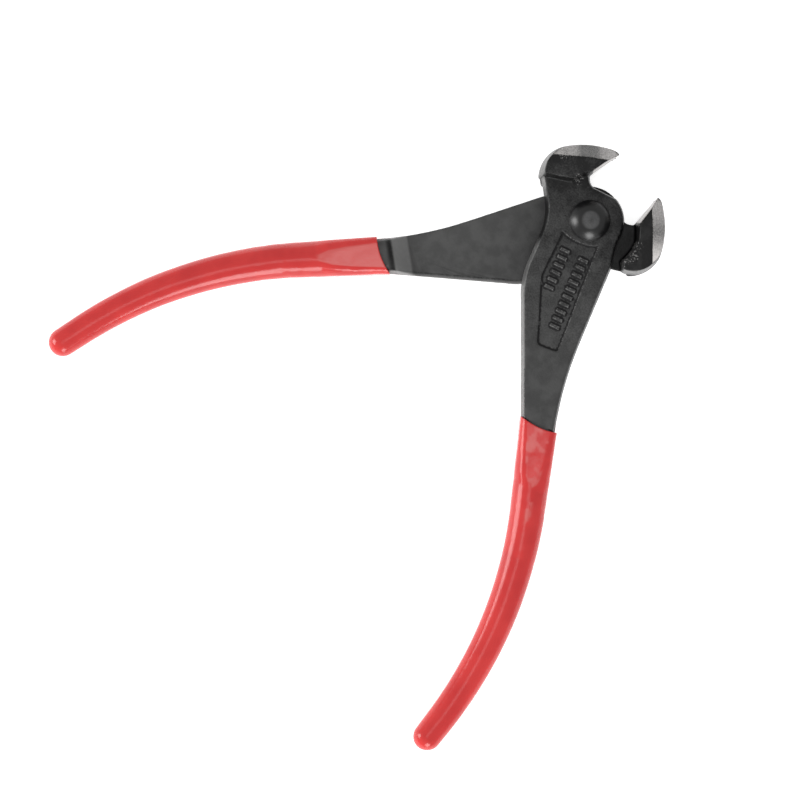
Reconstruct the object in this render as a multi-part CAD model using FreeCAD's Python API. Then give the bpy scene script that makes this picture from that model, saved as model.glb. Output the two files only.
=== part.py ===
"""Tile nippers: two drop-forged levers crossing at a rivet, with dip-coated grips.

Frame: millimetres. The origin is on the rivet's axis, half way through the lap.
+Z runs along the rivet out of its domed head, +Y runs along the open tool's
centreline towards the jaws, and +X completes the right-handed frame.
The tool is drawn open, as it rests.

Both levers are the same forging: the rear one is the front one turned over, so each
is drawn once in a lever frame. There +Y points from the pivot to the lever's own
cutting tip, the jaw lies on the -X side, the handle on the +X side, and the half
that laps over the other lever is above Z = 0.
"""
import FreeCAD, Part
import math
import os
from FreeCAD import Vector

# How far the tool stands open; each lever is turned half of it from the centreline
OPEN_ANGLE = 45.6
REAR_HANDLE_SWEEP = -1.1      # the rear handle is bent in this much more than the front one

# Lap and pivot
LAP_CLEARANCE = 0.1           # gap between the two lap faces
LAP_TOP = 5.8                 # height of the lap's outer face above the middle plane
LAP_DRAFT = 0.8               # how far the forging's sides lean in over that height
BOSS_RADIUS = 10.4
BOSS_TOP = 9.4                # the boss is flattened here, below the mouth
BOSS_FROM = -12.0             # directions between which the boss's edge shows, in degrees
BOSS_THROUGH = 24.0
RIVET_RADIUS = 3.2
RUNNING_FIT = 0.05            # radial clearance of the rear lever on the rivet
HEAD_RADIUS = 5.95
HEAD_DOME = 3.2               # the dome's full rise, before its crown is flattened
HEAD_RISE = 2.7               # the flat crown's height
PEEN_RADIUS = 5.6
PEEN_RISE = 2.0
PEEN_CLEARANCE = 0.1

# Jaws
JAW_HALF_WIDTH = 10.5
TIP_RADIUS = 21.2             # pivot to cutting tip
# the jaw's outer edge from the tip to its shoulder, at mid width and at the side face
CREST = ((0, TIP_RADIUS), (-1.4, 21.8), ((-8.6, 20.5), (-15.0, 17.3)))
SIDE_CREST = ((-0.4, 20.7), (-1.7, 20.9), ((-8.4, 19.5), (-14.4, 16.5)))
RELIEF_RADIUS = 14.7          # the cut that clears the other lever's shoulder
RELIEF_LEAN = 0.4             # how much wider that cut is at the jaw's side face
RELIEF_DIRECTIONS = (161.0, 147.0, 133.0)   # where it starts, passes through and ends
FACET_START = (-1.6, 18.15)   # the ground facet's upper edge on the jaw's side face
FACET_END = (-16.4, 13.15)
FACET_RUN = 4.4               # how far the facet reaches outwards
FACET_DEPTH = 7.6             # and how deep it has gone by then

# Shank and name panel
PANEL_DEPTH = 0.5
STEP_START = -51.3            # the half lap starts to thicken to the full tang here
STEP_END = -57.0
SHANK_END = -60.2

# Tang inside the grip
TANG_HALF_THICK = 5.2
COAT = 0.5                    # thickness of the dipped coat
GRIP_START = -59.4
TANG_ROOT = (11.1, -57.9)     # where the handle's centreline starts
HANDLE_LEAN = 17.8            # its direction there, out from the lever's axis
STRAIGHT_RUN = 25.8
BEND_RADIUS = 127.0
BEND_ANGLE = 30.5
BEND_LENGTH = BEND_RADIUS * math.radians(BEND_ANGLE)
TAIL_RUN = 6.0
BEND_STEPS = 5
END_ANGLES = (30.0, 55.0, 75.0)   # sections that round off the end
# width, thickness and corner radius of the grip at the start, the middle and the end
SECTION_START = (11.0, 12.2, 3.4)
SECTION_MIDDLE = (9.6, 9.6, 4.5)
SECTION_END = (8.2, 8.2, 3.9)
LEAST_FLAT = 0.02             # half width of the flats left where a section is round

CUTTER_SIZE = 200.0           # longer than the tool, for what is cut away or through
POINTED_CORNERS = 2           # makeOffset2D's join that carries lines on to meet


def turned(point, angle):
    """A point turned about the pivot, in degrees."""
    turn = math.radians(angle)
    x, y = point
    return (x * math.cos(turn) - y * math.sin(turn), x * math.sin(turn) + y * math.cos(turn))


def swept(sweep):
    """A function that puts a shank point in place on a handle with this sweep."""
    return lambda x, y: turned((x, y), sweep)


def outline(start, *steps):
    """A closed wire: each step is a point for a line, or a pair of points for an arc."""
    edges = []
    here = Vector(*start, 0)
    if steps[-1] != start and steps[-1][-1] != start:
        steps += (start,)
    for step in steps:
        if isinstance(step[0], tuple):
            through = Vector(*step[0], 0)
            there = Vector(*step[1], 0)
            edges.append(Part.Arc(here, through, there).toShape())
        else:
            there = Vector(*step, 0)
            edges.append(Part.LineSegment(here, there).toShape())
        here = there
    return Part.Wire(edges)


def skinned(lower, upper, foot, top):
    """A solid between one outline at height foot and a like one at height top."""
    lower.translate(Vector(0, 0, foot))
    upper.translate(Vector(0, 0, top))
    return Part.makeLoft([lower, upper], True, True)


def drafted(wire, foot, top, draft):
    """A solid on the outline at height foot whose sides lean in by draft up to top."""
    upper = wire.makeOffset2D(-draft, POINTED_CORNERS, False, False)
    return skinned(wire, upper, foot, top)


def lap_plate(sweep):
    """Boss, shank and the neck into the jaw: the half above the middle plane."""
    shank = swept(sweep)
    boss_start = turned((BOSS_RADIUS, 0), BOSS_FROM)
    boss_middle = turned((BOSS_RADIUS, 0), BOSS_THROUGH)
    boss_end = (math.sqrt(BOSS_RADIUS ** 2 - BOSS_TOP ** 2), BOSS_TOP)
    wire = outline(
        boss_start, (boss_middle, boss_end), (-1.8, BOSS_TOP + 0.2),
        ((-4.0, 10.2), (-4.9, 11.6)), (-7.0, 13.0), (-15.0, 12.0), (-18.2, 6.0),
        (-15.2, 1.5), ((-13.2, -1.7), (-11.5, -8.0)), shank(-11.3, -16.5),
        (shank(-10.5, -23.5), shank(-8.2, -29.3)), shank(6.3, SHANK_END),
        shank(17.1, SHANK_END), (shank(13.9, -46.0), shank(12.6, -33.0)), shank(11.7, -10.0))
    return drafted(wire, LAP_CLEARANCE / 2, LAP_TOP, LAP_DRAFT)


def jaw_front():
    """The jaw's half on the lap's side, with its shallow step down to the lap."""
    lower = outline(
        *CREST, ((-19.1, 11.8), (-18.6, 5.0)), (-9.4, 7.0), (-6.9, 9.6), (-5.1, 12.3),
        ((-2.6, 16.6), CREST[0]))
    upper = outline(
        *SIDE_CREST, ((-18.2, 11.6), (-17.7, 6.6)), (-9.5, 8.6), (-7.4, 11.4), (-5.5, 12.6),
        ((-3.0, 16.8), SIDE_CREST[0]))
    return skinned(lower, upper, 0, JAW_HALF_WIDTH)


def relief(radius):
    """The relief cut's arc about the pivot, from the heel round towards the mouth."""
    heel, middle, mouth = [turned((radius, 0), direction) for direction in RELIEF_DIRECTIONS]
    return heel, (middle, mouth)


def jaw_back():
    """The jaw's other half, cut back in an arc about the pivot."""
    lower = outline(
        *CREST, ((-19.1, 11.8), (-17.2, 4.0)), *relief(RELIEF_RADIUS), (-5.2, 12.6),
        ((-2.7, 16.7), CREST[0]))
    upper = outline(
        *SIDE_CREST, ((-18.2, 11.6), (-16.7, 4.2)), *relief(RELIEF_RADIUS + RELIEF_LEAN),
        (-5.6, 13.0), ((-3.0, 17.0), SIDE_CREST[0]))
    return skinned(lower, upper, 0, -JAW_HALF_WIDTH)


def facet_cutter(side):
    """The wedge ground off a jaw's corner; side is 1 for the front face, -1 for the back."""
    start = Vector(*FACET_START, side * JAW_HALF_WIDTH)
    end = Vector(*FACET_END, side * JAW_HALF_WIDTH)
    along = (end - start).normalize()
    outward = Vector(along.y, -along.x, 0)
    slope = outward * FACET_RUN + Vector(0, 0, -side * FACET_DEPTH)
    reach = slope * 2
    lift = Vector(0, 0, side * FACET_DEPTH * 2)
    first = start - along * CUTTER_SIZE / 4
    corners = [first, first + reach, first + reach + lift, first + lift]
    face = Part.Face(Part.makePolygon(corners + [first]))
    return face.extrude(along * CUTTER_SIZE / 2)


def name_panel(sweep):
    """The shallow recess in the shank's outer face."""
    shank = swept(sweep)
    wire = outline(
        shank(5.4, -5.5), shank(7.54, -37.4), (shank(7.26, -38.13), shank(6.5, -38.42)),
        shank(2.3, -38.74), (shank(1.48, -38.53), shank(0.94, -37.87)),
        shank(-5.46, -21.6), (shank(-5.86, -20.17), shank(-6.0, -18.7)),
        shank(-5.8, -6.0), (shank(-0.4, -7.0), shank(5.4, -5.5)))
    panel = Part.Face(wire).extrude(Vector(0, 0, PANEL_DEPTH * 2))
    panel.translate(Vector(0, 0, LAP_TOP - PANEL_DEPTH))
    return panel


def tang_step(sweep):
    """The wedge that thickens the half lap to the full tang, on the lap's inner side."""
    shank = swept(sweep)
    wire = outline(
        shank(2.2, STEP_START), shank(6.4, SHANK_END), shank(16.9, SHANK_END),
        shank(14.8, STEP_START))
    block = drafted(wire, LAP_CLEARANCE, -TANG_HALF_THICK, LAP_DRAFT)
    far = CUTTER_SIZE
    ramp = [Vector(-far, STEP_START, 0), Vector(-far, STEP_END, -TANG_HALF_THICK),
            Vector(-far, STEP_END, -far), Vector(-far, far, -far), Vector(-far, far, 0)]
    cutter = Part.Face(Part.makePolygon(ramp + [ramp[0]])).extrude(Vector(2 * far, 0, 0))
    cutter.rotate(Vector(0, 0, 0), Vector(0, 0, 1), sweep)
    return block.cut(cutter)


def section(centre, heading, width, thickness, corner):
    """A rounded rectangle across the handle; heading is its direction in degrees."""
    half_wide = width / 2
    half_thick = thickness / 2
    corner = min(corner, half_wide - LEAST_FLAT, half_thick - LEAST_FLAT)
    diagonal = corner * math.sqrt(0.5)
    turn = math.radians(heading)
    across = Vector(math.cos(turn), math.sin(turn), 0)
    middle = Vector(*centre, 0)
    edges = []
    here = None
    for side_x, side_z in ((1, 1), (-1, 1), (-1, -1), (1, -1)):
        centre_x = side_x * (half_wide - corner)
        centre_z = side_z * (half_thick - corner)
        ends = [(centre_x + side_x * corner, centre_z), (centre_x, centre_z + side_z * corner)]
        if side_x != side_z:
            ends.reverse()
        bulge = (centre_x + side_x * diagonal, centre_z + side_z * diagonal)
        first, last, through = [middle + across * x + Vector(0, 0, z)
                                for x, z in (ends[0], ends[1], bulge)]
        if here is not None:
            edges.append(Part.LineSegment(here, first).toShape())
        edges.append(Part.Arc(first, through, last).toShape())
        here = last
    opening = edges[0].Vertexes[0].Point
    edges.append(Part.LineSegment(here, opening).toShape())
    return Part.Wire(edges)


def between(low, high, share):
    """Values a share of the way from one tuple to the other."""
    return tuple(a + (b - a) * share for a, b in zip(low, high))


def on_centreline(station, sweep):
    """The handle's centre and heading at a station: straight, then a bend, then a tail."""
    lean = math.radians(HANDLE_LEAN)
    straight = min(station, STRAIGHT_RUN)
    angle = min(max(station - STRAIGHT_RUN, 0), BEND_LENGTH) / BEND_RADIUS
    tail = max(station - STRAIGHT_RUN - BEND_LENGTH, 0)
    x = TANG_ROOT[0] + math.sin(lean) * straight + math.sin(lean - angle) * tail
    x += BEND_RADIUS * (math.cos(lean - angle) - math.cos(lean))
    y = TANG_ROOT[1] - math.cos(lean) * straight - math.cos(lean - angle) * tail
    y -= BEND_RADIUS * (math.sin(lean) - math.sin(lean - angle))
    return turned((x, y), sweep), math.degrees(lean - angle) + sweep


def handle(sweep, shrink):
    """The handle's solid along its centreline, smaller all round by shrink."""
    length = STRAIGHT_RUN + BEND_LENGTH + TAIL_RUN
    stations = [0.0, STRAIGHT_RUN / 2, STRAIGHT_RUN]
    stations += [STRAIGHT_RUN + BEND_LENGTH * step / BEND_STEPS for step in range(1, BEND_STEPS + 1)]
    stations.append(length)
    wires = []
    for station in stations:
        share = station / length
        if share < 0.5:
            size = between(SECTION_START, SECTION_MIDDLE, share * 2)
        else:
            size = between(SECTION_MIDDLE, SECTION_END, share * 2 - 1)
        centre, heading = on_centreline(station, sweep)
        wires.append(section(centre, heading, size[0] - 2 * shrink, size[1] - 2 * shrink,
                             size[2] - shrink))
    dome = SECTION_END[0] / 2 - shrink
    for angle in END_ANGLES:
        across = 2 * dome * math.cos(math.radians(angle))
        centre, heading = on_centreline(length + dome * math.sin(math.radians(angle)), sweep)
        wires.append(section(centre, heading, across, across, across / 2))
    return Part.makeLoft(wires, True, False)


def lever(sweep, bore):
    """One whole forging in the lever frame, with its rivet hole."""
    body = lap_plate(sweep)
    for piece in (jaw_front(), jaw_back(), tang_step(sweep), handle(sweep, COAT)):
        body = body.fuse(piece)
    for side in (1, -1):
        body = body.cut(facet_cutter(side))
    body = body.cut(name_panel(sweep))
    hole = Part.makeCylinder(bore, CUTTER_SIZE, Vector(0, 0, -CUTTER_SIZE / 2))
    body = body.cut(hole)
    return body.removeSplitter()


def grip(sweep, forging):
    """The dipped coat: what lies over the tang beyond the dip line."""
    skin = handle(sweep, 0)
    size = CUTTER_SIZE
    above_dip_line = Part.makeBox(size, size, size, Vector(-size / 2, GRIP_START, -size / 2))
    return skin.cut(above_dip_line).cut(forging)


def dome(radius, rise, height):
    """A spherical cap standing on Z = 0, cut flat at the given height."""
    ball_radius = (radius ** 2 + rise ** 2) / (2 * rise)
    ball = Part.makeSphere(ball_radius, Vector(0, 0, rise - ball_radius))
    slab = Part.makeCylinder(radius, height)
    return ball.common(slab)


def rivet():
    """Domed head with a flat crown, plain shank, and the peened end behind."""
    head = LAP_TOP
    peen = -LAP_TOP - PEEN_CLEARANCE
    shank = Part.makeCylinder(RIVET_RADIUS, head - peen, Vector(0, 0, peen))
    front = dome(HEAD_RADIUS, HEAD_DOME, HEAD_RISE)
    front.translate(Vector(0, 0, head))
    back = dome(PEEN_RADIUS, PEEN_RISE, PEEN_RISE)
    back.rotate(Vector(0, 0, 0), Vector(1, 0, 0), 180)
    back.translate(Vector(0, 0, peen))
    return front.fuse(shank).fuse(back).removeSplitter()


def as_front(shape):
    """From the lever frame to the front lever's place in the open tool."""
    shape.rotate(Vector(0, 0, 0), Vector(0, 0, 1), OPEN_ANGLE / 2)
    return shape


def as_rear(shape):
    """The same, turned over behind the front lever."""
    shape.rotate(Vector(0, 0, 0), Vector(0, 1, 0), 180)
    shape.rotate(Vector(0, 0, 0), Vector(0, 0, 1), -OPEN_ANGLE / 2)
    return shape


def write(shape, name):
    """One closed solid to its own file."""
    solid = shape.Solids[0]
    print(name, len(shape.Solids), "solid, valid", solid.isValid(), "volume", round(solid.Volume, 1))
    solid.exportStep("parts/" + name + ".step")


os.makedirs("parts", exist_ok=True)
front_forging = lever(0.0, RIVET_RADIUS)
rear_forging = lever(REAR_HANDLE_SWEEP, RIVET_RADIUS + RUNNING_FIT)
front_coat = grip(0.0, front_forging)
rear_coat = grip(REAR_HANDLE_SWEEP, rear_forging)
write(as_front(front_forging), "front_lever")
write(as_rear(rear_forging), "rear_lever")
write(rivet(), "pivot_rivet")
write(as_front(front_coat), "front_grip")
write(as_rear(rear_coat), "rear_grip")
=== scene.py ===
"""Tile nippers, open: black forged levers, bright ground cutting corners, red dipped grips.

All positions are in metres in the part's own frame: the origin is on the rivet's axis,
+Z runs out of the domed head and +Y along the open tool's centreline to the jaws.
Shapes that belong to one lever are worked out in its lever frame, in millimetres, where
+Y points from the pivot to that lever's cutting tip, its jaw is on the -X side, its
handle on the +X side and its lap face at positive Z.
"""
import math

import bmesh
import bpy
import numpy as np
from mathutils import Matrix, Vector, noise


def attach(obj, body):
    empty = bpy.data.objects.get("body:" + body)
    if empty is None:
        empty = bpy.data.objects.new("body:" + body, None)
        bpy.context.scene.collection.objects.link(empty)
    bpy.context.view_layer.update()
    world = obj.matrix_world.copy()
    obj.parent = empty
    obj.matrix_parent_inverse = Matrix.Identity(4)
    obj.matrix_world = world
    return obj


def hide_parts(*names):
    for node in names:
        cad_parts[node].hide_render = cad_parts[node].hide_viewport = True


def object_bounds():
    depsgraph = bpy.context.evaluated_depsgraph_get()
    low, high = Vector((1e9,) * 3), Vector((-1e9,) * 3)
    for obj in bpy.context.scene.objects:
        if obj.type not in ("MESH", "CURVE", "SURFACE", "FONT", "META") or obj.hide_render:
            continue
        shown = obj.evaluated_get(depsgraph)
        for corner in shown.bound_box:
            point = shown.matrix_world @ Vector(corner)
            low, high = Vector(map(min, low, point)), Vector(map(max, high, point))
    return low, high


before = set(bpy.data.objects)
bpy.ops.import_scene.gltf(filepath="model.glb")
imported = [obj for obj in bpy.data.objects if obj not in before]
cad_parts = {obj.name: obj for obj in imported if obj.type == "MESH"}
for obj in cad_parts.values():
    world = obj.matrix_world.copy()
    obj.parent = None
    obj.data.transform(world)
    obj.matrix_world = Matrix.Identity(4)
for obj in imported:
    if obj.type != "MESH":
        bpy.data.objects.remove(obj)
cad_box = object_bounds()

MM = 0.001
OPEN_ANGLE = 45.6
REAR_HANDLE_SWEEP = -1.1

# Sizes shared with the CAD
LAP_TOP = 5.8
PANEL_DEPTH = 0.5
PANEL_FLOOR = LAP_TOP - PANEL_DEPTH
JAW_HALF_WIDTH = 10.5
FACET_START = (-1.6, 18.15)
FACET_END = (-16.4, 13.15)
FACET_RUN = 4.4
FACET_DEPTH = 7.6
RIVET_RADIUS = 3.2
HEAD_RADIUS = 5.95
HEAD_RISE = 2.7
PEEN_RADIUS = 5.6
PEEN_RISE = 2.0
PEEN_CLEARANCE = 0.1

# Head and peen as struck: the dome is a little lower than the CAD's, for a smaller crown
HEAD_DOME = 3.0
HEAD_RINGS = 46
HEAD_POLE_ANGLE = 0.01        # direction of the first ring from the axis, in radians
CROWN_LIFT = 0.05
CROWN_TILT = (0.045, 0.07)    # the crown is struck a little off square
CROWN_BLEND = 0.16            # how softly the crown turns into the flank
DENT_DEPTH = 0.1
PEEN_RINGS = 32
BLOW_DEPTH = 0.12
LEAST_RISE = 0.02             # of either end above the lap
SEAM_GAP = 0.005              # between the shank's end rings and the head's and peen's rims

# Handles: the centreline and the sections of the dipped coat
COAT = 0.5
GRIP_START = -59.4
TANG_ROOT = (11.1, -57.9)
HANDLE_LEAN = 17.8
STRAIGHT_RUN = 25.8
BEND_RADIUS = 127.0
BEND_ANGLE = 30.5
TAIL_RUN = 6.0
HANDLE_LENGTH = STRAIGHT_RUN + BEND_RADIUS * math.radians(BEND_ANGLE) + TAIL_RUN
SECTION_WIDTHS = (11.0, 9.6, 8.2)
SECTION_DEPTHS = (12.2, 9.6, 8.2)

# The coat's corners: tight over the square start of the tang, then soon quite round
CORNER_STATIONS = (0.0, 9.5, 15.0, 18.5)
CORNERS = (2.2, 2.95, 3.75)
UNEVEN_UNTIL = 38.0           # how far from the lip the front coat has dimples and patches of painted sheen
SHEEN_END = (17.0, 19.0)       # where the painted sheen on the rear coat's flat fades out, from the lip
RUN_SIZE = 7.0
RUN_DEPTH = 0.07
DIMPLE_SIZE = 3.4
DIMPLE_DEPTH = 0.09
FRONT_COAT_SEED = 11
REAR_COAT_SEED = 4
RING_STEPS = 96
FLAT_STEPS = 8                # of the ring's steps, on each of the four flats
LEAST_FLAT = 0.1              # half width of the narrowest flat
SKIN_ROWS = 230
END_ROWS = 16
LIP_ROWS = 6
LIP_BOW = 0.85                # how far the dip line sags between the coat's two sides

# Forged skin of the levers
LEVER_VOXEL = 0.21
LEVER_FACES = 190000
MERGE_DISTANCE = 0.002
EASE_ROUNDS = 16
EASE_WEIGHT = 0.6
KEEP_WEIGHT = 0.5             # how much less the ground facets and the panel are eased
FLAT_GUARD = 0.5              # skin within this of the middle plane stays flat
LAP_FACE_TOP = 11.0           # height where the lap face ends at the jaw
TANG_SINK = 0.45              # how far the tang's hidden skin lies inside its coat
BORE_GUARD = 4.3
FACET_BOW = 0.3               # how far the facets' ends sink

# How far each kind of unevenness moves the skin, and the size of its features
FINE_GRAIN = 0.012
COARSE_GRAIN = 0.034
BROAD_GRAIN = 0.035
TORN_EDGE = 0.16
SCUFF_GRAIN = 0.12
FINE_SIZE = 0.75
BROAD_SIZE = 3.2
TORN_SIZE = 0.8
SPARKLE_SIZE = 0.42

PANEL_MIDDLE_X = 1.0
PANEL_TOP_Y = -3.0
MOUTH_ROOT = (-6.6, 12.4)
CREST_MIDDLE_Y = 8.0
CREST_X = -9.0                # the crest lies beyond either of these
CREST_Y = 16.0

# Raised bars in the panel: each row's first x, first y and how many, then the bars' sizes
BAR_ROWS = ((3.15, -11.2, 10), (-2.8, -10.8, 6))
BAR_PITCH = 2.3
BAR_LEAN = 0.025
BAR_HALF_LENGTH = 1.6
BAR_HALF_WIDTH = 0.66
BAR_HEIGHT = 0.4

# Scuffed places on the visible side: x, y, radius in the lever frame
FRONT_SCUFFS = ((-14.6, 13.8, 2.4), (-7.9, 9.3, 2.0))
REAR_SCUFFS = ((-14.1, 8.0, 2.6), (-11.5, 10.3, 1.9), (-14.8, 5.0, 2.0))

# How bright each facet is, at distances from its tip end: its grinding, with painted reflection that
# makes it lighter and darker along its length
FACET_STOPS = (0.0, 3.0, 5.5, 8.0, 10.5, 15.6)
FRONT_FACET_POLISH_AND_REFLECTION = (0.4, 0.27, -0.12, -0.12, 0.28, 0.37)
REAR_FACET_POLISH_AND_REFLECTION = (0.36, 0.31, 0.19, 0.08, 0.29, 0.93)

# The lacquer is deep black on the jaws and lighter along the shank: partly a duller finish, and partly
# painted light that falls more on the shank than on the jaws. Heights in the lever frame, and how light
# it is there. The rear one has a painted lit band where it thickens to the tang, with a painted shade
# line on its tang side and painted shade on its jaw.
FRONT_TONE_AND_LIGHT = ((-50.0, -20.0, -4.0, 6.0, 13.0), (0.28, 0.21, 0.12, 0.05, -0.02))
REAR_TONE_AND_LIGHT = ((-58.3, -57.3, -56.7, -56.1, -51.9, -51.3, -20.0, -8.0, 1.0, 13.0),
              (0.36, 0.02, 0.02, 0.88, 0.88, 0.36, 0.32, 0.25, -0.03, -0.03))
STEP_SLANT = -0.18            # how far the rear tones and their painted lit band lean across the shank
HEAD_MOTTLE = 0.075           # how uneven the lacquer is around the pivot and on the jaws
STRIP_HIGHLIGHT = 0.62             # how light the painted highlight is on the rounded edge along a shank's inner side
STRIP_WIDTH = 0.85            # of the flat along the rear shank's inner side that is painted light as a highlight
LINE_WIDTH = 0.16             # of the painted highlight line and the painted gap shadow beside it
EDGE_HIGHLIGHT = 0.55            # how strong those two painted lines are
GAP_SHADOW = 0.3

# Colours, in linear light, and how strongly each finish reflects
LACQUER_BLACK = (0.003, 0.003, 0.0032)
# the lighter lacquer: a duller finish, and painted light
LACQUER_DULL_AND_LIT = (0.18, 0.18, 0.178)
# the rubbed lacquer: worn edges, and painted highlights
LACQUER_RUBBED_AND_LIT = (0.34, 0.335, 0.33)
LACQUER_SHINE = 0.27
STEEL_DARK = (0.035, 0.034, 0.033)
STEEL_BRIGHT = (0.50, 0.478, 0.466)
RIVET_BLACK = (0.004, 0.004, 0.0042)
RIVET_WORN = (0.055, 0.055, 0.056)
RIVET_SHINE = 0.5
PVC_DEEP = (0.52, 0.028, 0.028)
PVC_LIGHT = (0.60, 0.038, 0.036)
# the paler red of the painted sheen
PVC_SHEEN = (0.57, 0.095, 0.09)
PVC_SHINE = 0.36

# Stage, in metres and degrees; right and up are the picture's own directions
CAMERA_ROLL = 47.8
CAMERA_RIGHT = -0.0547
CAMERA_UP = -0.0517
CAMERA_HEIGHT = 0.884
CAMERA_LENS = 137.2
FLOOR_HALF_SIZE = 4.0
FLOOR_TILT = -2.65
FLOOR_PLACE = (0, -0.001, -0.0106)
FLOOR_GLOW = 0.7
SKY_STRENGTH = 0.66
TOOL_MIDDLE = (0.0, -0.06, 0.0)
BOX_SIZE = (0.56, 0.5)
BOX_HEIGHT = 0.4
BOX_DISTANCE = 1.1
BOX_POWER = 6.6
TOP_BOX_SIZE = (0.4, 0.4)
TOP_BOX_HEIGHT = 1.5
TOP_BOX_SHIFT = 0.1
TOP_BOX_POWER = 1.0


# ---------------------------------------------------------------- frames

def turn(points, degrees):
    """Points, as an array of x, y, z rows, turned about Z."""
    angle = math.radians(degrees)
    c, s = math.cos(angle), math.sin(angle)
    out = points.copy()
    out[:, 0] = c * points[:, 0] - s * points[:, 1]
    out[:, 1] = s * points[:, 0] + c * points[:, 1]
    return out


def to_tool(points, rear):
    """From a lever's frame to the open tool's."""
    if rear:
        points = points * np.array([-1.0, 1.0, -1.0])
    return turn(points, -OPEN_ANGLE / 2 if rear else OPEN_ANGLE / 2)


def to_lever(points, rear):
    """From the open tool's frame to a lever's."""
    points = turn(points, OPEN_ANGLE / 2 if rear else -OPEN_ANGLE / 2)
    if rear:
        points = points * np.array([-1.0, 1.0, -1.0])
    return points


def inside_cad(points):
    """Points in the tool's frame, held within the CAD's outer box."""
    lower, upper = [np.array(corner) / MM for corner in cad_box]
    return np.clip(points, lower, upper)


# ---------------------------------------------------------------- mesh helpers

def coordinates(mesh):
    """Vertex positions in millimetres."""
    flat = np.empty(len(mesh.vertices) * 3, dtype=np.float64)
    mesh.vertices.foreach_get("co", flat)
    return flat.reshape(-1, 3) / MM


def set_coordinates(mesh, points):
    mesh.vertices.foreach_set("co", (points * MM).ravel())
    mesh.update()


def vertex_normals(mesh):
    flat = np.empty(len(mesh.vertices) * 3, dtype=np.float32)
    mesh.vertex_normals.foreach_get("vector", flat)
    return flat.reshape(-1, 3).astype(np.float64)


def edge_pairs(mesh):
    flat = np.empty(len(mesh.edges) * 2, dtype=np.int64)
    mesh.edges.foreach_get("vertices", flat)
    return flat.reshape(-1, 2)


def relaxed(values, pairs, weight, rounds):
    """Laplacian smoothing of rows of values; weight is one number per vertex."""
    count = np.bincount(pairs.ravel(), minlength=len(values))[:, None]
    for _ in range(rounds):
        total = np.empty_like(values)
        for column in range(values.shape[1]):
            total[:, column] = np.bincount(pairs[:, 0], values[pairs[:, 1], column], len(values))
            total[:, column] += np.bincount(pairs[:, 1], values[pairs[:, 0], column], len(values))
        values = values + (total / count - values) * weight[:, None]
    return values


def smoothstep(low, high, value):
    """0 at low and 1 at high, eased at both ends; low may be the greater of the two."""
    share = np.clip((value - low) / (high - low), 0.0, 1.0)
    return share * share * (3 - 2 * share)


def noise_field(points, size, seed, octaves):
    """Fractal noise of about -1 to 1, with features about size millimetres across."""
    shift = Vector((17.3 * seed, -9.1 * seed, 5.7 * seed))
    return np.array([noise.fractal(Vector(point) / size + shift, 0.9, 2.1, octaves)
                     for point in points])


def store(mesh, name, values):
    """One number per vertex, for the material to read."""
    layer = mesh.attributes.new(name, "FLOAT", "POINT")
    layer.data.foreach_set("value", values.astype(np.float32))


def shaded_smooth(mesh):
    mesh.polygons.foreach_set("use_smooth", [True] * len(mesh.polygons))


def facing_out(mesh):
    work = bmesh.new()
    work.from_mesh(mesh)
    bmesh.ops.recalc_face_normals(work, faces=work.faces)
    work.to_mesh(mesh)
    work.free()


def new_object(name, mesh):
    piece = bpy.data.objects.new(name, mesh)
    bpy.context.scene.collection.objects.link(piece)
    return piece


def applied(piece):
    """The piece's mesh with its modifiers worked in, and the modifiers gone."""
    graph = bpy.context.evaluated_depsgraph_get()
    mesh = bpy.data.meshes.new_from_object(piece.evaluated_get(graph))
    piece.modifiers.clear()
    piece.data = mesh
    return mesh


def revolved(rows):
    """Faces that join rings of equal length, with a pole before the first and after the last."""
    count = len(rows[1])
    faces = []
    for index in range(count):
        nearby = (index + 1) % count
        faces.append((0, 1 + nearby, 1 + index))
    for level in range(len(rows) - 3):
        base = 1 + level * count
        for index in range(count):
            nearby = (index + 1) % count
            faces.append((base + index, base + nearby, base + count + nearby, base + count + index))
    last = 1 + (len(rows) - 3) * count
    pole = last + count
    for index in range(count):
        faces.append((last + index, last + (index + 1) % count, pole))
    return faces


def ring_piece(name, rows, placed):
    """A closed mesh from rings; placed turns an array of points into the tool's frame."""
    points = inside_cad(placed(np.concatenate(rows)))
    mesh = bpy.data.meshes.new(name)
    mesh.from_pydata((points * MM).tolist(), [], revolved(rows))
    facing_out(mesh)
    shaded_smooth(mesh)
    return new_object(name, mesh)


# ---------------------------------------------------------------- levers

def facet_frame(side):
    """A ground facet's upper corner, its direction along the jaw, and its normal."""
    start = np.array([*FACET_START, side * JAW_HALF_WIDTH])
    end = np.array([*FACET_END, side * JAW_HALF_WIDTH])
    along = (end - start) / np.linalg.norm(end - start)
    outward = np.array([along[1], -along[0], 0.0])
    slope = outward * FACET_RUN - np.array([0.0, 0.0, side * FACET_DEPTH])
    normal = np.cross(along, slope)
    normal *= np.sign(normal[2] * side) / np.linalg.norm(normal)
    return start, along, normal


def ground_mask(points, normals):
    """1 on the ground facets, 0 elsewhere."""
    mask = np.zeros(len(points))
    for side in (1, -1):
        start, _, normal = facet_frame(side)
        off_plane = np.abs((points - start) @ normal)
        near = 1 - smoothstep(0.12, 0.3, off_plane)
        aligned = smoothstep(0.8, 0.93, normals @ normal)
        mask = np.maximum(mask, near * aligned)
    return mask


def mouth_mask(points, normals):
    """1 on the wall inside the mouth, from the root of the cutting edge to its tip."""
    wall = smoothstep(0.45, 0.7, normals[:, 0]) * (points[:, 0] > MOUTH_ROOT[0])
    return wall * smoothstep(MOUTH_ROOT[1], MOUTH_ROOT[1] + 1.0, points[:, 1])


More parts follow.
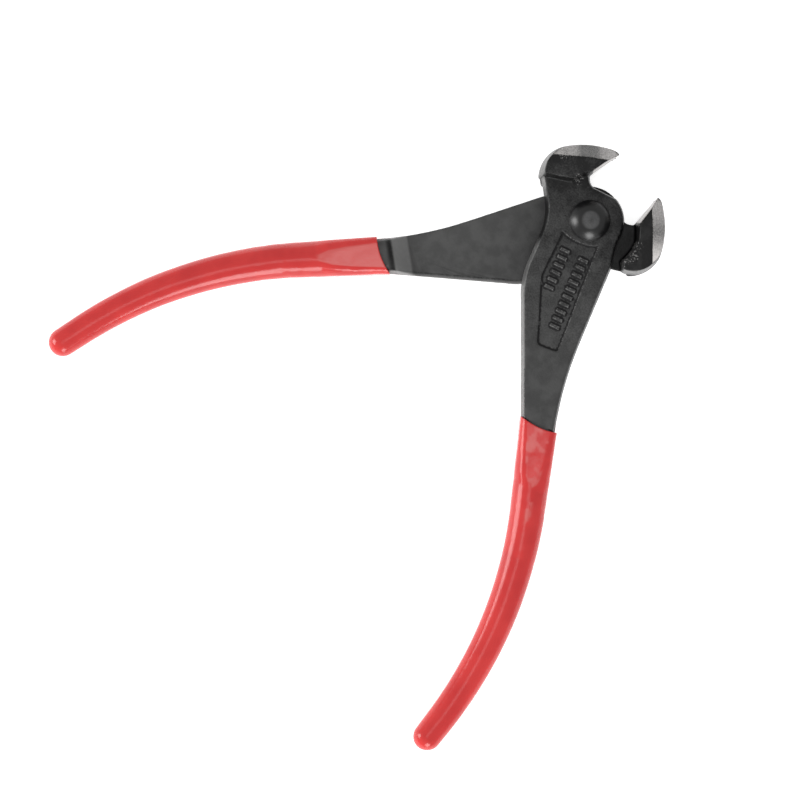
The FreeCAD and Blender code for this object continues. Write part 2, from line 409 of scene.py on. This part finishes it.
def crest_mask(points, normals):
    """1 on the jaw's outer wall, which is rubbed bright from the tip to the shoulder."""
    wall = smoothstep(0.6, 0.35, np.abs(normals[:, 2])) * smoothstep(1.0, 5.0, points[:, 1])
    outward = points[:, 0] * normals[:, 0] + (points[:, 1] - CREST_MIDDLE_Y) * normals[:, 1] > 0
    return wall * outward * ((points[:, 0] < CREST_X) | (points[:, 1] > CREST_Y))


def bowed(points, ground):
    """The facets' ends sink a little, as a corner ground by hand does."""
    for side in (1, -1):
        start, along, normal = facet_frame(side)
        half = math.dist(FACET_START, FACET_END) / 2
        share = ((points - start) @ along - half) / half
        own = ground * (points[:, 2] * side > 0)
        points = points - (own * FACET_BOW * share ** 2)[:, None] * normal
    return points


def panel_rim(points, normals, pairs):
    """1 on the panel's floor and walls and a little way over its rim, 0 elsewhere."""
    above_floor = points[:, 2] - PANEL_FLOOR
    on_lap = (above_floor > -0.1) & (points[:, 1] < PANEL_TOP_Y)
    floor = on_lap & (above_floor < 0.1) & (normals[:, 2] > 0.8)
    inward = normals[:, 0] * (PANEL_MIDDLE_X - points[:, 0]) > 0
    inward |= np.abs(normals[:, 1]) > np.abs(normals[:, 0])
    wall = on_lap & inward & (normals[:, 2] < 0.8) & (above_floor < PANEL_DEPTH - 0.05)
    inside = (floor | wall)[:, None].astype(float)
    spread = relaxed(inside, pairs, np.full(len(points), EASE_WEIGHT), 4)[:, 0]
    return smoothstep(0.0, 0.1, spread)


def panel_bars(points, normals, sweep):
    """How far the forged marks in the panel stand up at each point."""
    flat = turn(points, -sweep)
    height = np.zeros(len(points))
    on_floor = (np.abs(points[:, 2] - PANEL_FLOOR) < PANEL_DEPTH / 2) & (normals[:, 2] > 0.8)
    for first_x, first_y, how_many in BAR_ROWS:
        for index in range(how_many):
            middle_y = first_y - index * BAR_PITCH
            middle_x = first_x + BAR_LEAN * index * BAR_PITCH
            off_x = np.abs(flat[:, 0] - middle_x - BAR_LEAN * (middle_y - flat[:, 1]))
            off_y = np.abs(flat[:, 1] - middle_y)
            bar = smoothstep(0.0, 0.3, BAR_HALF_LENGTH - off_x)
            bar *= smoothstep(0.0, 0.3, BAR_HALF_WIDTH - off_y)
            height = np.maximum(height, bar)
    return height * on_floor * BAR_HEIGHT


def from_inner_side(points):
    """How far each point is from the lever's outline on its -X side, at the same height."""
    rows = np.floor(points[:, 1] / LEVER_VOXEL).astype(int)
    rows -= rows.min()
    outline = np.full(rows.max() + 1, np.inf)
    np.minimum.at(outline, rows, points[:, 0])
    return points[:, 0] - outline[rows]


def line_mask(distance, middle):
    """1 on a thin line at a distance from the outline, fading on both sides."""
    return np.exp(-((distance - middle) / LINE_WIDTH) ** 2)


def scuff_mask(points, scuffs, rear):
    """1 in the middle of each scuffed place on the lever's visible side."""
    seen = -points[:, 2] if rear else points[:, 2]
    mask = np.zeros(len(points))
    for x, y, radius in scuffs:
        reach = np.hypot(points[:, 0] - x, points[:, 1] - y)
        mask = np.maximum(mask, 1 - smoothstep(radius * 0.5, radius, reach))
    return mask * (seen > 0.3)


def forged_relief(points, convex, ground, coarse, broad):
    """How far the forging's grain and its torn edges move the skin at each point."""
    fine = noise_field(points, FINE_SIZE, 3, 2)
    torn = noise_field(points * np.array([1.0, 1.0, 0.35]), TORN_SIZE, 9, 3)
    relief = ((FINE_GRAIN + COARSE_GRAIN * coarse) * fine + BROAD_GRAIN * broad) * (1 - 0.9 * ground)
    relief += TORN_EDGE * smoothstep(0.06, 0.25, convex) * torn * (1 - ground)
    return relief


def store_steel(mesh, points, pairs, ground, mouth, rear):
    """Where the steel is bare, each point's place along the facet, and how bright it is: its grinding,
    with painted reflection along the facets.
    """
    bare = np.maximum(ground, mouth)
    even = np.full(len(points), 0.5)
    start, along, _ = facet_frame(1)
    grain = (points - start) @ along
    tones = REAR_FACET_POLISH_AND_REFLECTION if rear else FRONT_FACET_POLISH_AND_REFLECTION
    store(mesh, "ground", relaxed(bare[:, None], pairs, even, 2)[:, 0])
    store(mesh, "grain", grain)
    store(mesh, "polish_and_reflection", np.maximum(np.interp(grain, FACET_STOPS, tones), mouth))


def store_wear_and_light(mesh, points, pairs, exposed, lit, shank, inner, rear):
    """Lacquer rubbed off the edges, which also stands in for their highlights, painted highlights on the
    panel walls that face the side lamps, painted shade in creases, and along the rear shank a painted
    highlight line with a painted gap shadow beside it.
    """
    even = np.full(len(points), 0.5)
    stands_out = points - relaxed(points, pairs, even, 5)
    bend = (stands_out * to_lever(vertex_normals(mesh), rear)).sum(axis=1)
    bend = relaxed(bend[:, None], pairs, even, 1)[:, 0] * exposed
    # convex edges are rubbed light, which also paints their highlights; panel walls facing the side lamps
    # get a painted highlight
    rubbed = np.maximum(smoothstep(0.014, 0.07, bend), lit)
    # painted shade in creases, less of it at the rear lever's tang step
    crease_shade = smoothstep(0.009, 0.045, -bend)
    crease_shade *= 1 - 0.85 * smoothstep(-52.5, -55.0, points[:, 1])
    # along the rear shank's inner side: a painted highlight line and a painted gap shadow beside it
    edge_highlight = EDGE_HIGHLIGHT * shank * line_mask(inner, STRIP_WIDTH)
    gap_shadow = GAP_SHADOW * shank * line_mask(inner, STRIP_WIDTH + 2 * LINE_WIDTH)
    store(mesh, "edge", np.maximum(rubbed, edge_highlight))
    store(mesh, "crease_shade", np.maximum(crease_shade, gap_shadow))


def store_tone_and_light(mesh, points, normals, broad, crisp, shank, inner, rear):
    """How light the lacquer is painted: by height, a duller finish mixed with painted light and shade,
    uneven at the head, with painted shade on the front lever's steep walls and a painted highlight on the
    inner edges.
    """
    height = points[:, 1]
    if rear:
        tone_and_light = np.interp(height + STEP_SLANT * (points[:, 0] - TANG_ROOT[0]), *REAR_TONE_AND_LIGHT)
    else:
        tone_and_light = np.interp(height, *FRONT_TONE_AND_LIGHT)
        # painted shade: the front lever's steep walls go black, as in the shade between the levers
        tone_and_light *= smoothstep(0.3, 0.85, np.abs(normals[:, 2]))
    tone_and_light += HEAD_MOTTLE * broad * smoothstep(-17.0, -9.0, height)
    # painted highlight on the rounded inner edge of the shank, which faces the side lamps, and on the
    # rear shank's inner strip
    rim_highlight = smoothstep(0.12, 0.4, -normals[:, 0]) * smoothstep(-9.0, -14.0, height)
    rim_highlight = np.maximum(rim_highlight, shank * smoothstep(STRIP_WIDTH, STRIP_WIDTH - 0.2, inner))
    store(mesh, "tone_and_light", np.maximum(tone_and_light, STRIP_HIGHLIGHT * rim_highlight * (1 - crisp)))


def forged_skin(mesh, rear):
    """Ease the edges, then add the grain of the forging, the marks and the grinding."""
    points = to_lever(coordinates(mesh), rear)
    normals = to_lever(vertex_normals(mesh), rear)
    pairs = edge_pairs(mesh)
    ground = ground_mask(points, normals)
    sweep = REAR_HANDLE_SWEEP if rear else 0.0
    crisp = panel_rim(points, normals, pairs)
    weight = EASE_WEIGHT - KEEP_WEIGHT * np.maximum(ground, crisp)
    eased = relaxed(points, pairs, weight, EASE_ROUNDS)
    convex = relaxed(((points - eased) * normals).sum(axis=1)[:, None], pairs, weight, 2)[:, 0]

    hidden = smoothstep(GRIP_START - 1.0, GRIP_START - 3.0, eased[:, 1])
    lap_face = (np.abs(eased[:, 2]) < FLAT_GUARD) & (eased[:, 1] < LAP_FACE_TOP)
    bore = np.hypot(eased[:, 0], eased[:, 1]) < BORE_GUARD
    open_skin = (1 - hidden) * (1 - lap_face) * (1 - bore)
    scuff = scuff_mask(eased, REAR_SCUFFS if rear else FRONT_SCUFFS, rear) * open_skin
    broad = noise_field(eased, BROAD_SIZE, 5, 3)
    sparkle = noise_field(eased, SPARKLE_SIZE, 21, 2)
    coarse = smoothstep(2.0, 4.0, eased[:, 2]) * smoothstep(-48.0, -30.0, eased[:, 1])
    rough = forged_relief(eased, convex, ground, coarse, broad) + SCUFF_GRAIN * scuff * sparkle
    rough *= open_skin
    rough += panel_bars(points, normals, sweep) * open_skin
    rough -= TANG_SINK * hidden
    finished = bowed(eased + rough[:, None] * normals, ground)
    set_coordinates(mesh, inside_cad(to_tool(finished, rear)))

    shank = smoothstep(-15.0, -18.0, finished[:, 1]) * (finished[:, 2] < FLAT_GUARD) * rear
    inner = from_inner_side(finished)
    # painted highlight: the panel walls that face the side lamps
    lit = crisp * smoothstep(0.25, 0.7, -0.7 * (normals[:, 0] + normals[:, 1]))
    speckled = scuff * smoothstep(0.05, 0.5, sparkle)
    crest = crest_mask(points, normals) * (0.62 + 0.2 * broad)
    store_steel(mesh, finished, pairs, ground, mouth_mask(points, normals), rear)
    store_wear_and_light(mesh, finished, pairs, (1 - hidden) * (1 - bore), lit, shank, inner, rear)
    store(mesh, "scuff", np.maximum(speckled, crest * open_skin))
    store_tone_and_light(mesh, finished, normals, broad, crisp, shank, inner, rear)
    store(mesh, "pits", coarse)


def lever_piece(node, rear):
    """A fine closed copy of a CAD lever with a forged skin."""
    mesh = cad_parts[node].data.copy()
    mesh.materials.clear()
    work = bmesh.new()
    work.from_mesh(mesh)
    bmesh.ops.remove_doubles(work, verts=work.verts, dist=MERGE_DISTANCE * MM)
    work.to_mesh(mesh)
    work.free()
    piece = new_object(node + "_forging", mesh)
    remesh = piece.modifiers.new("skin", "REMESH")
    remesh.mode = "VOXEL"
    remesh.voxel_size = LEVER_VOXEL * MM
    mesh = applied(piece)
    forged_skin(mesh, rear)
    thin = piece.modifiers.new("thin", "DECIMATE")
    thin.ratio = min(1.0, LEVER_FACES / (2 * len(mesh.polygons)))
    mesh = applied(piece)
    set_coordinates(mesh, inside_cad(coordinates(mesh)))
    shaded_smooth(mesh)
    return piece


def make_lever(node, body, rear):
    piece = lever_piece(node, rear)
    piece.data.materials.append(black_forging(node + "_finish"))
    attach(piece, body)
    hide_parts(node)


# ---------------------------------------------------------------- rivet

def dome_height(radius, rise, reach):
    """Height of a spherical cap above its rim, at a distance from its axis."""
    ball = (radius ** 2 + rise ** 2) / (2 * rise)
    return np.sqrt(np.maximum(ball ** 2 - reach ** 2, 0)) - (ball - rise)


def around(reach, angles):
    """X and Y on a circle about the rivet's axis."""
    return reach * np.cos(angles), reach * np.sin(angles)


def head_rows(angles):
    """The domed head: a crown struck a little off square, with a dent in it."""
    rows = []
    for share in np.sin(np.linspace(HEAD_POLE_ANGLE, math.pi / 2, HEAD_RINGS)):
        reach = HEAD_RADIUS * share
        x, y = around(reach, angles)
        cap = dome_height(HEAD_RADIUS, HEAD_DOME, np.full(len(angles), reach))
        crown = HEAD_RISE + CROWN_LIFT + CROWN_TILT[0] * x + CROWN_TILT[1] * y
        top = -CROWN_BLEND * np.log(np.exp(-cap / CROWN_BLEND) + np.exp(-crown / CROWN_BLEND))
        dent = DENT_DEPTH * np.exp(-((x - 0.5) ** 2 + (y - 0.1) ** 2) / 0.35)
        top = np.maximum(top - dent, LEAST_RISE)
        rows.append(np.stack([x, y, LAP_TOP + top], axis=1))
    return rows


def peen_rows(angles):
    """The end hammered over behind, lower and less even than the head."""
    rows = []
    for share in np.cos(np.linspace(0.0, math.pi / 2 - 0.02, PEEN_RINGS)):
        reach = PEEN_RADIUS * share
        x, y = around(reach, angles)
        cap = dome_height(PEEN_RADIUS, PEEN_RISE, np.full(len(angles), reach))
        blows = BLOW_DEPTH * np.cos(x * 1.9 + 0.7) * np.cos(y * 1.6 - 0.4)
        blows *= smoothstep(1.0, 0.5, share)
        cap = np.clip(cap - 0.15 * share + blows - 0.1, LEAST_RISE, PEEN_RISE)
        rows.append(np.stack([x, y, -LAP_TOP - PEEN_CLEARANCE - cap], axis=1))
    return rows


def worn_crown(points):
    """1 on the head's crown, less in its dark middle, 0 elsewhere."""
    crown = smoothstep(HEAD_RISE - 0.32, HEAD_RISE - 0.08, points[:, 2] - LAP_TOP)
    middle = np.exp(-((points[:, 0] - 0.2) ** 2 + (points[:, 1] - 0.5) ** 2) / 0.6)
    return crown * (1 - 0.8 * middle)


def make_rivet():
    angles = np.linspace(0, 2 * math.pi, RING_STEPS, endpoint=False)
    head = head_rows(angles)
    peen = peen_rows(angles)
    rows = [head[0].mean(axis=0, keepdims=True), *head]
    for height in (LAP_TOP + SEAM_GAP, -LAP_TOP - PEEN_CLEARANCE + SEAM_GAP):
        x, y = around(RIVET_RADIUS, angles)
        rows.append(np.stack([x, y, np.full(len(angles), height)], axis=1))
    rows += [*peen, peen[-1].mean(axis=0, keepdims=True)]
    piece = ring_piece("pivot_rivet_head", rows, lambda points: points)
    store(piece.data, "worn", worn_crown(coordinates(piece.data)))
    piece.data.materials.append(rivet_finish())
    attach(piece, "front")
    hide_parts("pivot_rivet")


# ---------------------------------------------------------------- grips

def centreline(station, sweep):
    """Centre and heading of the handle at stations along it, in the lever's plane."""
    lean = math.radians(HANDLE_LEAN)
    bend = BEND_RADIUS * math.radians(BEND_ANGLE)
    straight = np.minimum(station, STRAIGHT_RUN)
    angle = np.clip(station - STRAIGHT_RUN, 0, bend) / BEND_RADIUS
    tail = np.maximum(station - STRAIGHT_RUN - bend, 0)
    x = TANG_ROOT[0] + math.sin(lean) * straight
    x = x + BEND_RADIUS * (np.cos(lean - angle) - math.cos(lean)) + np.sin(lean - angle) * tail
    y = TANG_ROOT[1] - math.cos(lean) * straight
    y = y - BEND_RADIUS * (math.sin(lean) - np.sin(lean - angle)) - np.cos(lean - angle) * tail
    sweep = math.radians(sweep)
    turned_x = x * math.cos(sweep) - y * math.sin(sweep)
    turned_y = x * math.sin(sweep) + y * math.cos(sweep)
    return turned_x, turned_y, lean - angle + sweep


def section_ring(share, inset):
    """A rounded rectangle across the handle: across the tool, and through it."""
    half_w = np.interp(share, [0, 0.5, 1], SECTION_WIDTHS) / 2 - inset
    half_t = np.interp(share, [0, 0.5, 1], SECTION_DEPTHS) / 2 - inset
    roundest = min(half_w, half_t) + inset - LEAST_FLAT
    corner = np.interp(share * HANDLE_LENGTH, CORNER_STATIONS, (*CORNERS, roundest)) - inset
    flat_w, flat_t = half_w - corner, half_t - corner
    centres = np.array([(flat_w, flat_t), (-flat_w, flat_t), (-flat_w, -flat_t), (flat_w, -flat_t)])
    arc_steps = RING_STEPS // 4 - FLAT_STEPS
    points = []
    for quarter in range(4):
        angles = math.pi / 2 * (quarter + np.linspace(0, 1, arc_steps + 1))
        arc = centres[quarter] + corner * np.stack([np.cos(angles), np.sin(angles)], axis=1)
        following = centres[(quarter + 1) % 4] - centres[quarter]
        along = np.linspace(0, 1, FLAT_STEPS + 1)[1:-1, None]
        points += [arc, arc[-1] + along * following]
    return np.concatenate(points)


def on_handle(ring, share, shift, sweep):
    """A ring put at a share of the coat's length; the first one lies on the dip line."""
    lean = math.radians(HANDLE_LEAN + sweep)
    _, root_y, _ = centreline(np.array([0.0]), sweep)
    dip = (root_y[0] + ring[:, 0] * math.sin(lean) - GRIP_START) / math.cos(lean)
    dip += LIP_BOW * np.clip(1 - (2 * ring[:, 0] / SECTION_WIDTHS[0]) ** 2, 0, 1)
    station = dip + (HANDLE_LENGTH - dip) * share + shift
    x, y, heading = centreline(station, sweep)
    return np.stack([x + np.cos(heading) * ring[:, 0], y + np.sin(heading) * ring[:, 0],
                     ring[:, 1]], axis=1)


def end_cap(inset, sweep):
    """Rings that close the coat's far end in a half ball, to its pole."""
    ring = section_ring(1.0, inset)
    depth = SECTION_WIDTHS[2] / 2 - inset
    rows = []
    for angle in np.linspace(0, math.pi / 2, END_ROWS)[1:-1]:
        rows.append(on_handle(ring * math.cos(angle), 1.0, depth * math.sin(angle), sweep))
    rows.append(on_handle(np.zeros((1, 2)), 1.0, depth, sweep))
    return rows


def coat_rows(sweep):
    """From the socket's inner pole, out over the rolled lip and along to the outer pole."""
    shares = np.linspace(0, 1, SKIN_ROWS) ** 1.15
    inner = [on_handle(section_ring(share, COAT), share, 0.0, sweep) for share in shares[1:]]
    inner_end = end_cap(COAT, sweep)
    lip = []
    for angle in np.linspace(0, math.pi, LIP_ROWS + 2):
        inset = COAT / 2 * (1 + math.cos(angle))
        back = COAT / 2 * (1 - math.sin(angle))
        lip.append(on_handle(section_ring(0.0, inset), 0.0, back, sweep))
    outer = [on_handle(section_ring(share, 0.0), share, 0.0, sweep) for share in shares[3:]]
    return inner_end[::-1] + inner[::-1] + lip + outer + end_cap(0.0, sweep)


def drawn_in(points, dimples, seed):
    """How far the coat's outer skin is drawn in, in long runs and in dimples near the lip."""
    from_lip = np.abs(points[:, 1] - GRIP_START)
    outer = np.arange(len(points)) > len(points) / 2
    runs = noise_field(points * np.array([1.0, 0.45, 1.0]), RUN_SIZE, seed, 2)
    drawn = RUN_DEPTH * np.clip(runs - 0.2, -1, 0)
    drawn += DIMPLE_DEPTH * np.clip(dimples, -1, 0) * (from_lip < UNEVEN_UNTIL)
    return outer * smoothstep(0.3, 2.5, from_lip) * drawn


def sheen_places(points, normals, dimples, rear):
    """1 where a sheen is painted on faces that look straight up or down: the rear coat's start, and
    patches on the front one.
    """
    from_lip = np.abs(points[:, 1] - GRIP_START)
    flat = smoothstep(0.975, 0.993, np.abs(normals[:, 2]))
    if not rear:
        near = 1 - smoothstep(UNEVEN_UNTIL * 0.6, UNEVEN_UNTIL, from_lip)
        return smoothstep(0.05, 0.4, dimples) * near * flat
    outer = np.arange(len(points)) > len(points) / 2
    return outer * flat * (1 - smoothstep(*SHEEN_END, from_lip))


def make_grip(node, body, rear):
    sweep = REAR_HANDLE_SWEEP if rear else 0.0
    seed = REAR_COAT_SEED if rear else FRONT_COAT_SEED
    piece = ring_piece(node + "_coat", coat_rows(sweep), lambda points: to_tool(points, rear))
    mesh = piece.data
    points = to_lever(coordinates(mesh), rear)
    normals = to_lever(vertex_normals(mesh), rear)
    dimples = noise_field(points, DIMPLE_SIZE, seed + 2, 2)
    moved = points + drawn_in(points, dimples, seed)[:, None] * normals
    set_coordinates(mesh, inside_cad(to_tool(moved, rear)))
    # painted sheen: paler red on the faces that look straight up or down
    store(mesh, "pale", sheen_places(points, normals, dimples, rear))
    mesh.materials.append(red_pvc(node + "_finish"))
    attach(piece, body)
    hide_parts(node)


# ---------------------------------------------------------------- materials

def new_material(name):
    """A material with its node tree, its shader and object coordinates."""
    material = bpy.data.materials.new(name)
    material.use_nodes = True
    tree = material.node_tree
    place = tree.nodes.new("ShaderNodeTexCoord").outputs["Object"]
    return material, tree, tree.nodes["Principled BSDF"], place


def texture(tree, place, size, detail):
    """A noise pattern whose features are about size millimetres across."""
    pattern = tree.nodes.new("ShaderNodeTexNoise")
    pattern.inputs["Scale"].default_value = 1 / (size * MM)
    pattern.inputs["Detail"].default_value = detail
    tree.links.new(place, pattern.inputs["Vector"])
    return pattern.outputs["Fac"]


def ranged(tree, value, low, high, to_low, to_high):
    """A value carried from one range to another, and held there."""
    change = tree.nodes.new("ShaderNodeMapRange")
    change.interpolation_type = "SMOOTHSTEP"
    numbers = (low, high, to_low, to_high)
    for socket, number in zip(("From Min", "From Max", "To Min", "To Max"), numbers):
        change.inputs[socket].default_value = number
    tree.links.new(value, change.inputs["Value"])
    return change.outputs["Result"]


def attribute(tree, name):
    reader = tree.nodes.new("ShaderNodeAttribute")
    reader.attribute_name = name
    return reader.outputs["Fac"]


def arithmetic(tree, operation, first, second):
    """Two varying values joined by one operation."""
    joined = tree.nodes.new("ShaderNodeMath")
    joined.operation = operation
    tree.links.new(first, joined.inputs[0])
    tree.links.new(second, joined.inputs[1])
    return joined.outputs["Value"]


def mixed(tree, kind, share, first, second):
    """First and second, each a socket or a plain value, mixed by share."""
    mix = tree.nodes.new("ShaderNodeMix")
    mix.data_type = kind
    sockets = {"FLOAT": (2, 3), "RGBA": (6, 7)}[kind]
    tree.links.new(share, mix.inputs[0])
    for number, value in zip(sockets, (first, second)):
        if isinstance(value, bpy.types.NodeSocket):
            tree.links.new(value, mix.inputs[number])
        else:
            mix.inputs[number].default_value = (*value, 1.0) if kind == "RGBA" else value
    return mix.outputs[0 if kind == "FLOAT" else 2]


def bumped(tree, shader, height, distance, strength):
    bump = tree.nodes.new("ShaderNodeBump")
    bump.inputs["Distance"].default_value = distance * MM
    bump.inputs["Strength"].default_value = strength
    tree.links.new(height, bump.inputs["Height"])
    tree.links.new(bump.outputs["Normal"], shader.inputs["Normal"])


def grinding_lines(tree):
    """A pattern that changes only along the facet's edge, as a wheel leaves it."""
    pattern = tree.nodes.new("ShaderNodeTexNoise")
    pattern.noise_dimensions = "1D"
    pattern.inputs["Scale"].default_value = 7.0
    pattern.inputs["Detail"].default_value = 4.0
    tree.links.new(attribute(tree, "grain"), pattern.inputs["W"])
    return pattern.outputs["Fac"]


def black_forging(name):
    """Black lacquer on forged steel, with the cutting corners ground bright; its colours also carry
    painted light, shade and reflection.
    """
    material, tree, shader, place = new_material(name)
    mottle = texture(tree, place, 4.0, 5.0)
    grit = texture(tree, place, 0.45, 3.0)
    lines = grinding_lines(tree)
    border = arithmetic(tree, "ADD", attribute(tree, "ground"), ranged(tree, grit, 0.3, 0.7, -0.22, 0.22))
    bare = ranged(tree, border, 0.42, 0.62, 0.0, 1.0)
    # the edge mask carries rubbed wear with painted highlights, and the mixes below carry both
    rub_and_highlight = arithmetic(tree, "MULTIPLY", attribute(tree, "edge"), ranged(tree, grit, 0.35, 0.65, 0.1, 0.7))
    scuffed = arithmetic(tree, "MAXIMUM", rub_and_highlight, attribute(tree, "scuff"))
    worn = ranged(tree, scuffed, 0.1, 0.9, 0.0, 0.5)
    speckle = arithmetic(tree, "MULTIPLY", attribute(tree, "pits"),
                         ranged(tree, grit, 0.3, 0.7, -0.06, 0.07))
    # how light the lacquer is painted: its own tone and pits, with painted light and shade, less the
    # painted shade in creases and gaps
    dull_and_lit = arithmetic(tree, "ADD", attribute(tree, "tone_and_light"),
                        ranged(tree, mottle, 0.35, 0.65, -0.05, 0.05))
    dull_and_lit = arithmetic(tree, "ADD", dull_and_lit, speckle)
    dull_and_lit = arithmetic(tree, "SUBTRACT", dull_and_lit, attribute(tree, "crease_shade"))
    lacquer = mixed(tree, "RGBA", dull_and_lit, LACQUER_BLACK, LACQUER_DULL_AND_LIT)
    # the rubbed colour is worn lacquer and painted highlights
    rubbed = mixed(tree, "RGBA", worn, lacquer, LACQUER_RUBBED_AND_LIT)
    # the bare steel's brightness: grinding and wheel lines, with painted reflection along the facets
    polish_and_reflection = arithmetic(tree, "ADD", attribute(tree, "polish_and_reflection"),
                        ranged(tree, lines, 0.35, 0.65, -0.1, 0.1))
    polish_and_reflection = arithmetic(tree, "ADD", polish_and_reflection, ranged(tree, grit, 0.3, 0.7, -0.14, 0.14))
    steel = mixed(tree, "RGBA", polish_and_reflection, STEEL_DARK, STEEL_BRIGHT)
    colour = mixed(tree, "RGBA", bare, rubbed, steel)
    metal = mixed(tree, "FLOAT", bare, ranged(tree, worn, 0.0, 0.5, 0.0, 0.45), 1.0)
    gloss = mixed(tree, "FLOAT", bare, ranged(tree, grit, 0.3, 0.7, 0.34, 0.5),
                  ranged(tree, lines, 0.3, 0.7, 0.26, 0.4))
    height = mixed(tree, "FLOAT", bare, grit, lines)
    tree.links.new(colour, shader.inputs["Base Color"])
    tree.links.new(metal, shader.inputs["Metallic"])
    tree.links.new(gloss, shader.inputs["Roughness"])
    shader.inputs["Specular IOR Level"].default_value = LACQUER_SHINE
    bumped(tree, shader, height, 0.07, 0.7)
    return material


def rivet_finish():
    """Glossy black, with the crown rubbed grey."""
    material, tree, shader, place = new_material("rivet_finish")
    grit = texture(tree, place, 0.5, 3.0)
    worn = arithmetic(tree, "MULTIPLY", attribute(tree, "worn"), ranged(tree, grit, 0.25, 0.6, 0.7, 1.0))
    colour = mixed(tree, "RGBA", worn, RIVET_BLACK, RIVET_WORN)
    tree.links.new(colour, shader.inputs["Base Color"])
    shader.inputs["Specular IOR Level"].default_value = RIVET_SHINE
    tree.links.new(ranged(tree, worn, 0.0, 1.0, 0.3, 0.45), shader.inputs["Roughness"])
    bumped(tree, shader, grit, 0.02, 0.35)
    return material


def red_pvc(name):
    """Glossy red dip coating, a little uneven in colour and shine, with a painted sheen on its flats."""
    material, tree, shader, place = new_material(name)
    cloud = texture(tree, place, 9.0, 2.0)
    fine = texture(tree, place, 0.9, 3.0)
    colour = mixed(tree, "RGBA", ranged(tree, cloud, 0.3, 0.7, 0.0, 1.0), PVC_DEEP, PVC_LIGHT)
    # paler red where the sheen is painted
    colour = mixed(tree, "RGBA", attribute(tree, "pale"), colour, PVC_SHEEN)
    tree.links.new(colour, shader.inputs["Base Color"])
    shader.inputs["Specular IOR Level"].default_value = PVC_SHINE
    tree.links.new(ranged(tree, fine, 0.3, 0.7, 0.13, 0.22), shader.inputs["Roughness"])
    bumped(tree, shader, fine, 0.02, 0.3)
    return material


def floor_material():
    material = bpy.data.materials.new("floor")
    material.use_nodes = True
    shader = material.node_tree.nodes["Principled BSDF"]
    shader.inputs["Base Color"].default_value = (0.9, 0.9, 0.9, 1.0)
    shader.inputs["Roughness"].default_value = 0.7
    shader.inputs["Emission Color"].default_value = (1.0, 1.0, 1.0, 1.0)
    shader.inputs["Emission Strength"].default_value = FLOOR_GLOW
    return material


# ---------------------------------------------------------------- stage

def make_camera():
    """Straight down on the tool, rolled so that it lies as a person would lay it."""
    data = bpy.data.cameras.new("camera")
    data.sensor_width = 36.0
    data.lens = CAMERA_LENS
    data.clip_start = 0.05
    camera = bpy.data.objects.new("camera", data)
    roll = math.radians(CAMERA_ROLL)
    right = Vector((math.cos(roll), math.sin(roll), 0.0))
    up = Vector((-math.sin(roll), math.cos(roll), 0.0))
    camera.location = CAMERA_RIGHT * right + CAMERA_UP * up + Vector((0.0, 0.0, CAMERA_HEIGHT))
    camera.rotation_euler = (0.0, 0.0, roll)
    bpy.context.scene.collection.objects.link(camera)
    bpy.context.scene.camera = camera
    return right, up


def make_floor():
    """The tool lies on its jaws' flat sides and the ends of its grips."""
    size = FLOOR_HALF_SIZE
    mesh = bpy.data.meshes.new("floor")
    mesh.from_pydata([(-size, -size, 0), (size, -size, 0), (size, size, 0), (-size, size, 0)],
                     [], [(0, 1, 2, 3)])
    floor = new_object("floor", mesh)
    floor.rotation_euler = (math.radians(FLOOR_TILT), 0, 0)
    floor.location = FLOOR_PLACE
    mesh.materials.append(floor_material())


def area_light(name, location, size, power):
    """A soft box that faces the middle of the tool."""
    data = bpy.data.lights.new(name, "AREA")
    data.shape = "RECTANGLE"
    data.size, data.size_y = size
    data.energy = power
    light = bpy.data.objects.new(name, data)
    light.location = location
    light.rotation_euler = (Vector(TOOL_MIDDLE) - Vector(location)).to_track_quat("-Z", "Z").to_euler()
    bpy.context.scene.collection.objects.link(light)


def make_lights(right, up):
    world = bpy.data.worlds.new("studio")
    world.use_nodes = True
    background = world.node_tree.nodes["Background"]
    background.inputs["Color"].default_value = (1, 1, 1, 1)
    background.inputs["Strength"].default_value = SKY_STRENGTH
    bpy.context.scene.world = world
    box_height = Vector((0, 0, BOX_HEIGHT))
    top = -TOP_BOX_SHIFT * (right + up) + Vector((0, 0, TOP_BOX_HEIGHT))
    area_light("side_box", -BOX_DISTANCE * right + box_height, BOX_SIZE, BOX_POWER)
    area_light("near_box", -BOX_DISTANCE * up + box_height, BOX_SIZE, BOX_POWER)
    area_light("top_box", top, TOP_BOX_SIZE, TOP_BOX_POWER)


bpy.context.scene.view_settings.view_transform = "Standard"
camera_right, camera_up = make_camera()
make_floor()
make_lights(camera_right, camera_up)
make_lever("front_lever", "front", False)
make_lever("rear_lever", "rear", True)
make_rivet()
make_grip("front_grip", "front", False)
make_grip("rear_grip", "rear", True)
